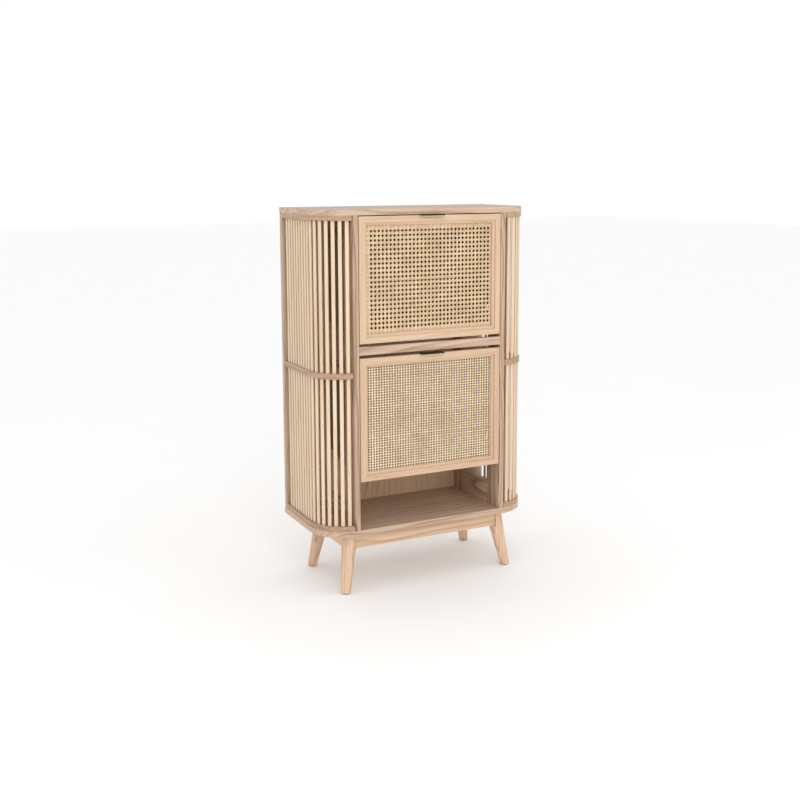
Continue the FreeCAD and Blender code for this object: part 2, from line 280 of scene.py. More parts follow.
@dataclass(frozen=True)
class GrainNoise:
    """Noise that is drawn out along the fibres of wood."""

    stretch: float
    scale: float
    detail: float

    def value(self, graph: Graph, place: bpy.types.NodeSocket) -> bpy.types.NodeSocket:
        """Noise at a place whose Z runs along the fibres."""
        drawn_out = graph.vector_math("MULTIPLY", place, (1.0, 1.0, self.stretch))
        return graph.noise(drawn_out, self.scale, self.detail)


BEND = GrainNoise(0.22, 5.5, 2.0)
FIBRE = GrainNoise(0.018, 620.0, 3.0)
STREAK = GrainNoise(0.03, 95.0, 2.0)
PORE = GrainNoise(0.05, 1100.0, 1.0)
TONE_SHIFT = (0.61, 0.37, 2.3)      # how far a tone moves a piece through the log, in metres
HEART = (0.031, 0.17)               # how far the log's heart lies from the piece, in metres
RING_FLATNESS = 0.35
RING_WANDER = 0.11
LATE_WOOD = ((0.0, 0.05), (0.55, 0.3), (0.88, 1.0), (1.0, 0.05))
PORE_CUT = ((0.6, 0.0), (0.72, 1.0))
PORES_ANYWHERE, PORES_IN_LATE = 0.3, 0.7
STREAK_DEPTH, FIBRE_DEPTH, TONE_DEPTH, BEND_DEPTH = 0.9, 0.5, 0.45, 0.35
PORE_DARKNESS = 0.5
FIBRE_ROUGHNESS = 0.12
FIBRE_HEIGHT, PORE_SINK, LATE_SINK = 0.6, 0.9, 0.15


def build_wood_group() -> bpy.types.NodeTree:
    """Wood with growth rings, fibres and pores, with Z of its vector along the grain.

    Returns:
        The node group.
    """
    inputs = {
        "Vector": "NodeSocketVector", "Light": "NodeSocketColor", "Dark": "NodeSocketColor",
        "Pore": "NodeSocketColor", "Ring Width": "NodeSocketFloat", "Figure": "NodeSocketFloat",
        "Tone": "NodeSocketFloat", "Base Roughness": "NodeSocketFloat",
    }
    group, g, given, result = new_group("Wood Grain", inputs, SURFACE_OUTPUTS)
    tone = given.outputs["Tone"]
    shift = g.combine(*(g.math("MULTIPLY", tone, distance) for distance in TONE_SHIFT))
    place = g.vector_math("ADD", given.outputs["Vector"], shift)
    bend = BEND.value(g, place)
    x, y, _ = g.split(place)
    across = g.math("POWER", g.math("ADD", x, HEART[0]), 2.0)
    deep = g.math("POWER", g.math("ADD", y, HEART[1]), 2.0)
    radius = g.math("SQRT", g.math("ADD", across, g.math("MULTIPLY", deep, RING_FLATNESS)))
    warped = g.math("ADD", radius, g.math("MULTIPLY", bend, RING_WANDER))
    ring = g.math("FRACT", g.math("DIVIDE", warped, given.outputs["Ring Width"]))
    late = g.ramp(ring, LATE_WOOD)
    fibre = FIBRE.value(g, place)
    often = g.math("ADD", g.math("MULTIPLY", late, PORES_IN_LATE), PORES_ANYWHERE)
    pores = g.math("MULTIPLY", g.ramp(PORE.value(g, place), PORE_CUT), often)
    figure = g.math("MULTIPLY", late, given.outputs["Figure"])
    figure = g.math("ADD", figure, g.centred(STREAK.value(g, place), STREAK_DEPTH))
    figure = g.math("ADD", figure, g.centred(fibre, FIBRE_DEPTH))
    figure = g.math("ADD", figure, g.centred(tone, TONE_DEPTH))
    figure = g.math("ADD", figure, g.math("MULTIPLY", bend, BEND_DEPTH), clamp=True)
    colour = g.mix(figure, given.outputs["Light"], given.outputs["Dark"])
    colour = g.mix(g.math("MULTIPLY", pores, PORE_DARKNESS), colour, given.outputs["Pore"])
    uneven = g.math("MULTIPLY", fibre, FIBRE_ROUGHNESS)
    rough = g.math("ADD", given.outputs["Base Roughness"], uneven)
    raised, sunk = g.math("MULTIPLY", fibre, FIBRE_HEIGHT), g.math("MULTIPLY", pores, PORE_SINK)
    height = g.math("SUBTRACT", raised, sunk)
    height = g.math("SUBTRACT", height, g.math("MULTIPLY", late, LATE_SINK))
    g.feed(result.inputs["Colour"], colour)
    g.feed(result.inputs["Roughness"], rough)
    g.feed(result.inputs["Height"], height)
    return group


# Cane strands: how far apart two tones lie in the noise, how much of each effect there is
TONE_APART, HUE_APART = 97.0, 311.0
REGION_SCALE, GRIT_SCALE = 13.0, 900.0
PATCH_SHARE, TONE_SHARE, REGION_SHARE, LIGHT_SHARE = 1.3, 0.4, 0.6, 0.75
GREEN_CUT = ((0.62, 0.0), (0.9, 0.75))
GRIT_CUT = ((0.55, 0.0), (0.75, 1.0))
GRIT_DEPTH = 0.3
CANE_ROUGHNESS, GRIT_ROUGHNESS = 0.42, 0.2


def build_cane_group() -> bpy.types.NodeTree:
    """Cane strand colour that changes from strand to strand and along each one.

    Returns:
        The node group.
    """
    inputs = {
        "Vector": "NodeSocketVector", "Tone": "NodeSocketFloat", "Run": "NodeSocketFloat",
        "Light": "NodeSocketColor", "Dark": "NodeSocketColor", "Green": "NodeSocketColor",
        "Patch": "NodeSocketFloat",
    }
    group, g, given, result = new_group("Cane Strand", inputs, SURFACE_OUTPUTS)
    tone, run = given.outputs["Tone"], given.outputs["Run"]
    along = g.math("MULTIPLY", run, given.outputs["Patch"])
    patch = g.noise(g.combine(g.math("MULTIPLY", tone, TONE_APART), along), 1.0)
    region = g.noise(given.outputs["Vector"], REGION_SCALE)
    share = g.math("ADD", g.math("MULTIPLY", patch, PATCH_SHARE),
                   g.math("MULTIPLY", tone, TONE_SHARE))
    share = g.math("ADD", share, g.math("MULTIPLY", region, REGION_SHARE))
    share = g.math("SUBTRACT", share, LIGHT_SHARE, clamp=True)
    colour = g.mix(share, given.outputs["Light"], given.outputs["Dark"])
    hue = g.add("ShaderNodeTexWhiteNoise", noise_dimensions="1D")
    g.feed(hue.inputs["W"], g.math("MULTIPLY", tone, HUE_APART))
    green = g.ramp(hue.outputs[0], GREEN_CUT)
    colour = g.mix(g.math("MULTIPLY", green, patch), colour, given.outputs["Green"])
    grit = g.noise(given.outputs["Vector"], GRIT_SCALE)
    specks = g.math("MULTIPLY", g.ramp(grit, GRIT_CUT), GRIT_DEPTH)
    colour = g.mix(specks, colour, given.outputs["Dark"])
    rough = g.math("ADD", CANE_ROUGHNESS, g.math("MULTIPLY", grit, GRIT_ROUGHNESS))
    g.feed(result.inputs["Colour"], colour)
    g.feed(result.inputs["Roughness"], rough)
    g.feed(result.inputs["Height"], grit)
    return group


MARK_SCALE, MARK_DETAIL, MARK_ROUGHNESS = 14.0, 3.0, 0.15


def build_speckle_group() -> bpy.types.NodeTree:
    """Fine moulded or cast texture with slow handling marks.

    Returns:
        The node group.
    """
    inputs = {
        "Vector": "NodeSocketVector", "Light": "NodeSocketColor", "Dark": "NodeSocketColor",
        "Grain Scale": "NodeSocketFloat", "Base Roughness": "NodeSocketFloat",
    }
    group, g, given, result = new_group("Speckle", inputs, SURFACE_OUTPUTS)
    scaled = g.add("ShaderNodeVectorMath", operation="SCALE")
    g.feed(scaled.inputs[0], given.outputs["Vector"])
    g.feed(scaled.inputs["Scale"], given.outputs["Grain Scale"])
    grain = g.noise(scaled.outputs[0], 1.0)
    marks = g.noise(given.outputs["Vector"], MARK_SCALE, MARK_DETAIL)
    colour = g.mix(g.math("ADD", g.math("MULTIPLY", grain, 0.5), g.math("MULTIPLY", marks, 0.5)),
                   given.outputs["Light"], given.outputs["Dark"])
    worn = g.math("MULTIPLY", marks, MARK_ROUGHNESS)
    rough = g.math("ADD", given.outputs["Base Roughness"], worn)
    g.feed(result.inputs["Colour"], colour)
    g.feed(result.inputs["Roughness"], rough)
    g.feed(result.inputs["Height"], grain)
    return group


# ---- Finishes -----------------------------------------------------------------------
class Palette:
    """The shared shader groups and the materials made so far."""

    def __init__(self) -> None:
        """Build the shared groups once."""
        self.wood = build_wood_group()
        self.cane = build_cane_group()
        self.speckle = build_speckle_group()
        self.made: dict[str, bpy.types.Material] = {}

    def start(self, name: str,
              group: bpy.types.NodeTree) -> tuple[Graph, bpy.types.Node, bpy.types.Node]:
        """Start a material whose surface comes from one shared group.

        Args:
            name: The material's name.
            group: The shared group that feeds it.

        Returns:
            The material's graph, its group node and its Principled shader.
        """
        material = bpy.data.materials.new(name)
        material.use_nodes = True
        graph = Graph(material.node_tree)
        shader = material.node_tree.nodes["Principled BSDF"]
        node = graph.add("ShaderNodeGroup", node_tree=group)
        graph.feed(shader.inputs["Base Color"], node.outputs["Colour"])
        graph.feed(shader.inputs["Roughness"], node.outputs["Roughness"])
        self.made[name] = material
        return graph, node, shader

    def bump(self, graph: Graph, node: bpy.types.Node, shader: bpy.types.Node,
             relief: tuple[float, float]) -> None:
        """Feed a group's height into the shader's normal.

        Args:
            graph: The material's graph.
            node: The group node with the height.
            shader: The shader to feed.
            relief: Depth of the relief in metres, and how strongly it shows.
        """
        bump = graph.add("ShaderNodeBump")
        bump.inputs["Distance"].default_value, bump.inputs["Strength"].default_value = relief
        graph.feed(bump.inputs["Height"], node.outputs["Height"])
        graph.feed(shader.inputs["Normal"], bump.outputs["Normal"])


def object_place(graph: Graph) -> bpy.types.NodeSocket:
    """Place on the piece in the row frame, in metres."""
    return graph.add("ShaderNodeTexCoord").outputs["Object"]


def attribute(graph: Graph, name: str) -> bpy.types.NodeSocket:
    """Value of a named attribute of the mesh."""
    return graph.add("ShaderNodeAttribute", attribute_name=name).outputs["Fac"]


def turned_place(graph: Graph, grain: Grain) -> bpy.types.NodeSocket:
    """Place on the piece with its Z along the fibres."""
    split = graph.split(object_place(graph))
    return graph.combine(*(split[axis] for axis in grain.value))


WOOD_RELIEF = (0.0004, 0.35)
BEAD_RELIEF = (0.0003, 0.3)
CANE_RELIEF = (0.0002, 0.3)
SOLID_RELIEF = (0.0002, 0.25)
CANE_COAT = 0.08
SHEEN_TINT = (0.62, 0.82, 1.045, 1.0)       # tint of the painted grey sheen on upper faces, for the glancing reflection there
SLOPING, LEVEL = 0.8, 0.98              # upward part of the normal where the painted sheen starts and ends


@dataclass(frozen=True)
class WoodFinish:
    """Bare or oiled wood."""

    name: str
    light: Colour
    dark: Colour
    pore: Colour
    ring: float = 0.011
    figure: float = 0.5
    roughness: float = 0.48
    # Share of the painted grey sheen on upward faces, for their glancing reflection.
    painted_sheen: float = 0.0

    def material(self, palette: Palette, grain: Grain,
                 tone: float | None = None) -> bpy.types.Material:
        """Material of this wood with its fibres along one axis.

        Args:
            palette: Shared groups and finished materials.
            grain: Direction of the fibres.
            tone: Shade and grain of this piece from 0 to 1, or None to read them from
                the piece's own tone attribute.

        Returns:
            The material, made once for each direction and tone.
        """
        name = f"{self.name}_{grain.name.lower()}"
        if tone is not None:
            name += f"_{tone:.2f}"
        if name in palette.made:
            return palette.made[name]
        graph, node, shader = palette.start(name, palette.wood)
        self.fill(graph, node, turned_place(graph, grain), tone)
        # Painted sheen: upward faces are tinted grey for the glancing reflection on them.
        if self.painted_sheen:
            up = graph.split(graph.add("ShaderNodeNewGeometry").outputs["Normal"])["Z"]
            share = graph.ramp(up, ((SLOPING, 0.0), (LEVEL, self.painted_sheen)))
            grey = graph.mix(share, node.outputs["Colour"], SHEEN_TINT, "MULTIPLY")
            graph.feed(shader.inputs["Base Color"], grey)
        palette.bump(graph, node, shader, WOOD_RELIEF)
        return palette.made[name]

    def fill(self, graph: Graph, node: bpy.types.Node, place: bpy.types.NodeSocket,
             tone: float | None) -> None:
        """Give a Wood Grain node this finish's values.

        Args:
            graph: The material's graph.
            node: The Wood Grain node.
            place: Place on the piece with its Z along the fibres.
            tone: The piece's tone, or None to read its tone attribute.
        """
        graph.feed(node.inputs["Vector"], place)
        graph.feed(node.inputs["Tone"], attribute(graph, "tone") if tone is None else tone)
        values = {
            "Light": self.light, "Dark": self.dark, "Pore": self.pore,
            "Ring Width": self.ring, "Figure": self.figure, "Base Roughness": self.roughness,
        }
        for socket, value in values.items():
            node.inputs[socket].default_value = value


@dataclass(frozen=True)
class CaneFinish:
    """Split cane, natural and unvarnished."""

    name: str
    light: Colour
    dark: Colour
    green: Colour
    patch: float

    def material(self, palette: Palette) -> bpy.types.Material:
        """Material that reads each strand's own tone and run.

        Args:
            palette: Shared groups and finished materials.

        Returns:
            The material.
        """
        if self.name in palette.made:
            return palette.made[self.name]
        graph, node, shader = palette.start(self.name, palette.cane)
        graph.feed(node.inputs["Vector"], object_place(graph))
        graph.feed(node.inputs["Tone"], attribute(graph, "tone"))
        graph.feed(node.inputs["Run"], attribute(graph, "run"))
        values = {
            "Light": self.light, "Dark": self.dark, "Green": self.green, "Patch": self.patch,
        }
        for socket, value in values.items():
            node.inputs[socket].default_value = value
        shader.inputs["Coat Weight"].default_value = CANE_COAT
        palette.bump(graph, node, shader, CANE_RELIEF)
        return palette.made[self.name]


@dataclass(frozen=True)
class SolidFinish:
    """Moulded plastic or metal with a fine texture, with a painted reflection where a face's
    attribute says.
    """

    name: str
    light: Colour
    dark: Colour
    roughness: float
    metallic: float = 0.0
    grain: float = 1400.0
    polished: Colour | None = None

    def material(self, palette: Palette) -> bpy.types.Material:
        """Material of this finish, made once.

        Args:
            palette: Shared groups and finished materials.

        Returns:
            The material.
        """
        if self.name in palette.made:
            return palette.made[self.name]
        graph, node, shader = palette.start(self.name, palette.speckle)
        graph.feed(node.inputs["Vector"], object_place(graph))
        values = {
            "Light": self.light, "Dark": self.dark,
            "Grain Scale": self.grain, "Base Roughness": self.roughness,
        }
        for socket, value in values.items():
            node.inputs[socket].default_value = value
        shader.inputs["Metallic"].default_value = self.metallic
        # Painted reflection: faces marked by the attribute take a light colour for the bright
        # room they reflect.
        if self.polished:
            polish = attribute(graph, "polish")
            colour = graph.mix(polish, node.outputs["Colour"], self.polished)
            graph.feed(shader.inputs["Base Color"], colour)
        palette.bump(graph, node, shader, SOLID_RELIEF)
        return palette.made[self.name]


BOARD_WOOD = WoodFinish(
    "board_ash", srgb(212, 184, 158), srgb(152, 117, 92), srgb(110, 78, 56), figure=0.55)
# Top board: board ash with a painted grey sheen on its upper face.
TOP_WOOD = replace(BOARD_WOOD, name="board_ash_worn", painted_sheen=0.45)
POST_WOOD = WoodFinish(
    "post_ash", srgb(208, 179, 152), srgb(140, 106, 82), srgb(104, 74, 54), figure=0.75)
RAIL_WOOD = WoodFinish(
    "rail_ash", srgb(190, 158, 130), srgb(148, 113, 87), srgb(104, 74, 52), figure=0.5)
BACK_WOOD = WoodFinish(
    "back_ash", srgb(198, 172, 147), srgb(158, 130, 107), srgb(104, 78, 60), figure=0.5)
SLAT_WOOD = WoodFinish(
    "slat_pine", srgb(234, 212, 184), srgb(211, 178, 141), srgb(176, 138, 100),
    ring=0.014, figure=0.3, roughness=0.55)
DOOR_WOOD = WoodFinish(
    "door_ash", srgb(219, 190, 160), srgb(190, 154, 119), srgb(150, 112, 80),
    ring=0.013, figure=0.35, roughness=0.45)
LEG_WOOD = WoodFinish(
    "leg_ash", srgb(228, 197, 166), srgb(184, 144, 112), srgb(140, 102, 74),
    ring=0.012, figure=0.55)
PANEL_WOOD = WoodFinish(
    "back_veneer", srgb(238, 206, 172), srgb(200, 160, 126), srgb(130, 94, 68),
    ring=0.009, figure=0.6, roughness=0.55)
OPEN_CANE = CaneFinish(
    "cane_open", srgb(246, 220, 184), srgb(190, 148, 104), srgb(212, 198, 150), patch=20.0)
CLOSE_CANE = CaneFinish(
    "cane_close", srgb(255, 236, 204), srgb(198, 152, 110), srgb(196, 192, 146), patch=32.0)
# Pull metal: the dark base colour stands in for the shade and the dark gap that the flange
# reflects, and the light front of the lip is a painted reflection.
PULL_METAL = SolidFinish(
    "pull_bronze", srgb(96, 80, 58), srgb(66, 52, 36), roughness=0.3, metallic=1.0,
    grain=2200.0, polished=srgb(212, 198, 164))
# Side plates: their plastic colour is darkened and browned as painted shade for the inside of the
# bin, seen through the slat gaps.
PLATE_PLASTIC_SHADED = SolidFinish("grey_plastic", srgb(112, 92, 72), srgb(88, 70, 54), roughness=0.5)
# Trays: plastic in a warm dark brown that also serves as painted shade for the inside of the bin,
# seen through the cane holes.
TRAY_PLASTIC_SHADED = SolidFinish("tray_plastic", srgb(110, 68, 36), srgb(88, 52, 26), roughness=0.55)
ZINC = SolidFinish(
    "zinc_steel", srgb(206, 206, 202), srgb(160, 160, 156), roughness=0.3, metallic=1.0,
    grain=2600.0)
GLIDE = SolidFinish("glide_plastic", srgb(96, 90, 84), srgb(70, 66, 62), roughness=0.6)


# ---- Modelling helpers --------------------------------------------------------------
def deselect() -> None:
    """Leave nothing selected."""
    bpy.ops.object.select_all(action="DESELECT")


def activate(piece: bpy.types.Object) -> None:
    """Make one object the only selected and active one.

    Args:
        piece: The object.
    """
    deselect()
    piece.select_set(True)
    bpy.context.view_layer.objects.active = piece


def apply_modifier(piece: bpy.types.Object, kind: str, **settings: object) -> None:
    """Add a modifier, set it and apply it to the mesh.

    Args:
        piece: The object.
        kind: The modifier's type.
        **settings: Properties to set on it.
    """
    activate(piece)
    modifier = piece.modifiers.new(kind.title(), kind)
    for name, value in settings.items():
        setattr(modifier, name, value)
    bpy.ops.object.modifier_apply(modifier=modifier.name)


def set_attribute(mesh: bpy.types.Mesh, name: str, values: list[float],
                  domain: str = "POINT") -> None:
    """Store one number for each vertex or face under a name.

    Args:
        mesh: The mesh.
        name: The attribute's name.
        values: Its values in order.
        domain: POINT for vertices or FACE for faces.
    """
    layer = mesh.attributes.get(name) or mesh.attributes.new(name, "FLOAT", domain)
    layer.data.foreach_set("value", values)


def set_tone(piece: bpy.types.Object, tone: float) -> None:
    """Give a whole piece one tone, which also picks its part of the grain."""
    set_attribute(piece.data, "tone", [tone] * len(piece.data.vertices))


def dress(piece: bpy.types.Object, material: bpy.types.Material, slot: str, body: str,
          *nodes: str) -> None:
    """Give a new piece its finish, body and the nodes it stands for.

    Args:
        piece: The new object.
        material: Its only material.
        slot: The record's material slot; not used.
        body: The body it moves with.
        *nodes: CAD nodes that it replaces.
    """
    piece.data.materials.clear()
    piece.data.materials.append(material)
    if nodes:
        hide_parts(*nodes)
    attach(piece, body)
    log.info("%s: %d faces on %s", piece.name, len(piece.data.polygons), body)


def paint_node(node: str, material: bpy.types.Material) -> None:
    """Give a CAD node a finish and leave its mesh as it is.

    Args:
        node: The node's name.
        material: Its only material.
    """
    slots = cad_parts[node].material_slots
    if not slots:
        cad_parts[node].data.materials.append(material)
    for slot in slots:
        slot.material = material
    log.info("%s: finished as %s", node, material.name)


def node_corners(node: str) -> tuple[Vector, Vector]:
    """Lowest and highest corners of a CAD node."""
    low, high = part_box(node)
    return Vector(low), Vector(high)


def place_into_mesh() -> None:
    """Move the selected objects' place, turn and size into their meshes."""
    bpy.ops.object.transform_apply(location=True, rotation=True, scale=True)


def block(name: str, low: Vector, high: Vector) -> bpy.types.Object:
    """Sharp block between two corners, active, its place in its mesh.

    Args:
        name: The object's name.
        low: Lowest corner.
        high: Highest corner.

    Returns:
        The new object.
    """
    deselect()
    bpy.ops.mesh.primitive_cube_add(size=1.0, location=(low + high) / 2)
    piece = bpy.context.object
    piece.name = name
    piece.scale = high - low
    place_into_mesh()
    return piece


def eased_block(name: str, low: Vector, high: Vector, ease: float) -> bpy.types.Object:
    """Block with eased edges, its place in its mesh.

    Args:
        name: The object's name.
        low: Lowest corner.
        high: Highest corner.
        ease: Width of the eased edge.

    Returns:
        The new object.
    """
    piece = block(name, low, high)
    apply_modifier(piece, "BEVEL", width=ease, segments=2, limit_method="ANGLE")
    bpy.ops.object.shade_smooth_by_angle(angle=SMOOTH_ANGLE)
    return piece


def eased_bar(node: str, ease: float, tone: float) -> bpy.types.Object:
    """Model a square-edged CAD bar again with eased edges.

    Args:
        node: Name of the CAD node, which is a plain block.
        ease: Width of the eased edge.
        tone: Shade of its wood from 0 to 1.

    Returns:
        The new object.
    """
    piece = eased_block(node + "_bar", *node_corners(node), ease)
    set_tone(piece, tone)
    return piece


def join(name: str, pieces: list[bpy.types.Object]) -> bpy.types.Object:
    """Join objects into one.

    Args:
        name: Name of the joined object.
        pieces: The objects.

    Returns:
        The joined object.
    """
    deselect()
    for piece in pieces:
        piece.select_set(True)
    bpy.context.view_layer.objects.active = pieces[0]
    bpy.ops.object.join()
    pieces[0].name = name
    return pieces[0]


# ---- Slatted sides ------------------------------------------------------------------
@dataclass
class SlatRows:
    """Four rows of upright slats that follow the boards' outline round the front corners."""

    count: int = 16
    first: float = 49.7 * MM
    pitch: float = 21.7 * MM
    width: float = 11.5 * MM
    thickness: float = 5 * MM
    inset: float = 5 * MM
    corner: float = 112 * MM
    ease: float = 1.2 * MM
    tones: tuple[float, float] = (0.3, 0.7)
    dice: random.Random = field(default_factory=lambda: random.Random(SEED))

    def place(self, distance: float, side: int) -> tuple[Vector, float]:
        """Centre and turn of a slat.

        Args:
            distance: Distance along the outline from its back edge.
            side: 1 on the right and -1 on the left.

        Returns:
            The centre in plan and the turn about Z in radians.
        """
        low, high = node_corners("top_board")
        half = (high.x - low.x) / 2
        arc_x, arc_y = half - self.corner, low.y + self.corner
        straight = high.y - arc_y
        middle = self.inset + self.thickness / 2
        if distance <= straight:
            return Vector((side * (half - middle), high.y - distance, 0)), 0.0
        turn = (distance - straight) / (self.corner - self.inset)
        reach = self.corner - middle
        x, y = arc_x + reach * math.cos(turn), arc_y - reach * math.sin(turn)
        return Vector((side * x, y, 0)), -side * turn

    def build_row(self, node: str, palette: Palette) -> None:
        """Model one row in place of its CAD node.

        Args:
            node: Name of the CAD node.
            palette: Shared groups and finished materials.
        """
        side = -1 if node.endswith("left") else 1
        low, high = node_corners(node)
        half = Vector((self.thickness / 2, self.width / 2, (high.z - low.z) / 2))
        pattern = eased_block(node + "_pattern", -half, half, self.ease)
        slats = []
        for index in range(self.count):
            centre, turn = self.place(self.first + index * self.pitch, side)
            slat = pattern.copy()
            slat.data = pattern.data.copy()
            bpy.context.collection.objects.link(slat)
            set_tone(slat, self.dice.uniform(*self.tones))
            slat.location = (centre.x, centre.y, (low.z + high.z) / 2)
            slat.rotation_euler = (0, 0, turn)
            slats.append(slat)
        bpy.data.objects.remove(pattern)
        row = join(node + "_bars", slats)
        activate(row)
        place_into_mesh()
        dress(row, SLAT_WOOD.material(palette, Grain.ALONG_Z), "slat_wood", "carcass", node)

    def build(self, palette: Palette) -> None:
        """Model all four rows.

        Args:
            palette: Shared groups and finished materials.
        """
        for level in ("upper", "lower"):
            for side in ("left", "right"):
                self.build_row(f"{level}_slats_{side}", palette)


# ---- Cane ---------------------------------------------------------------------------
@dataclass
class Loom:
    """Lays flat strands that rise and dip as they cross."""

    width: float
    thickness: float
    dice: random.Random
    patterns: dict[int, bpy.types.Object] = field(default_factory=dict)
    strands: list[bpy.types.Object] = field(default_factory=list)

    def pattern(self, steps: int) -> bpy.types.Object:
        """Flat strand one metre long along X, modelled once.

        Args:
            steps: Number of steps along it.

        Returns:
            The strand to copy.
        """
        if steps not in self.patterns:
            deselect()
            bpy.ops.mesh.primitive_grid_add(x_subdivisions=steps, y_subdivisions=1, size=1.0)
            strand = bpy.context.object
            strand.scale = (1.0, self.width, 1.0)
            place_into_mesh()
            apply_modifier(strand, "SOLIDIFY", thickness=self.thickness, offset=0.0)
            self.patterns[steps] = strand
        return self.patterns[steps]

    def lay(self, start: Vector, end: Vector, steps: int, rise: Callable[[float], float]) -> None:
        """Lay one strand.

        Args:
            start: Its first end, in the panel's middle plane.
            end: Its other end.
            steps: Number of steps along it.
            rise: Distance in front of the panel's middle at a distance along it.
        """
        pattern = self.pattern(steps)
        mesh = pattern.data.copy()
        along = (end - start).normalized()
        beside = Vector((-along.z, 0.0, along.x))
        length = (end - start).length
        runs = []
        for vertex in mesh.vertices:
            run = (vertex.co.x + 0.5) * length
            runs.append(run)
            forward = rise(run) + vertex.co.z
            vertex.co = start + along * run + beside * vertex.co.y - Vector((0, forward, 0))
        strand = bpy.data.objects.new("strand", mesh)
        bpy.context.collection.objects.link(strand)
        set_attribute(mesh, "run", runs)
        set_attribute(mesh, "tone", [self.dice.random()] * len(runs))
        self.strands.append(strand)

    def finish(self, name: str) -> bpy.types.Object:
        """Join the strands and face them outward.

        Args:
            name: Name of the woven piece.

        Returns:
            The piece.
        """
        for pattern in self.patterns.values():
            bpy.data.objects.remove(pattern)
        web = join(name, self.strands)
        bpy.ops.object.mode_set(mode="EDIT")
        bpy.ops.mesh.select_all(action="SELECT")
        bpy.ops.mesh.normals_make_consistent(inside=False)
        bpy.ops.object.mode_set(mode="OBJECT")
        return web


@dataclass
class CanePanel:
    """Common measures of a woven panel in its door frame."""

    level: str
    end_x: float = 5 * MM
    end_z: float = 1.3 * MM
    rim_left: float = 9 * MM
    rim_right: float = 9 * MM
    rim_z: float = 5.3 * MM

    def inside(self, left: float, right: float, bottom: float,
               top: float) -> tuple[Vector, Vector]:
        """Corners in the panel's middle plane.

        Args:
            left: Distance from its left edge.
            right: Distance from its right edge.
            bottom: Distance from its bottom edge.
            top: Distance from its top edge.

        Returns:
            The lowest and the highest corner.
        """
        low, high = node_corners(self.level + "_cane")
        middle = (low.y + high.y) / 2
        return (Vector((low.x + left, middle, low.z + bottom)),
                Vector((high.x - right, middle, high.z - top)))

    def corners(self) -> tuple[Vector, Vector]:
        """Corners of the whole cells of the weave."""
        return self.inside(self.rim_left, self.rim_right, self.rim_z, self.rim_z)

    def ends(self) -> tuple[Vector, Vector]:
        """Corners of the woven sheet, under the bead."""
        return self.inside(self.end_x, self.end_x, self.end_z, self.end_z)


